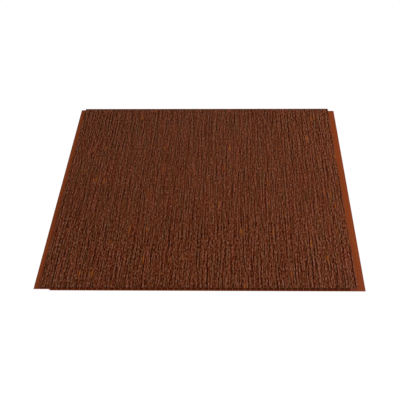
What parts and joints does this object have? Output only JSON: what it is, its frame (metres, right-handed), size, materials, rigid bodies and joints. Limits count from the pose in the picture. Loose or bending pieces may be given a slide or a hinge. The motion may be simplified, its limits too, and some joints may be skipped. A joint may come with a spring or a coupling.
{
  "type": "wall cladding panel",
  "caption": "Hollow-cell extruded wall cladding panel with an embossed wood-grain face, a tongue and back recess on one edge, and a groove and fixing flange on the other.",
  "frame": {"origin": "on the flat back, at the centre of the whole footprint from tongue tip to flange tip", "axes": "+X across the panel from tongue to flange, +Y along the extrusion and the grain, +Z out of the face"},
  "size_m": [0.626, 0.6, 0.009],
  "materials": {
    "board": "matte embossed wood-grain face, satin red-brown edges and back"
  },
  "bodies": {
    "root": {"cladding_panel": "board"}
  },
  "joints": []
}
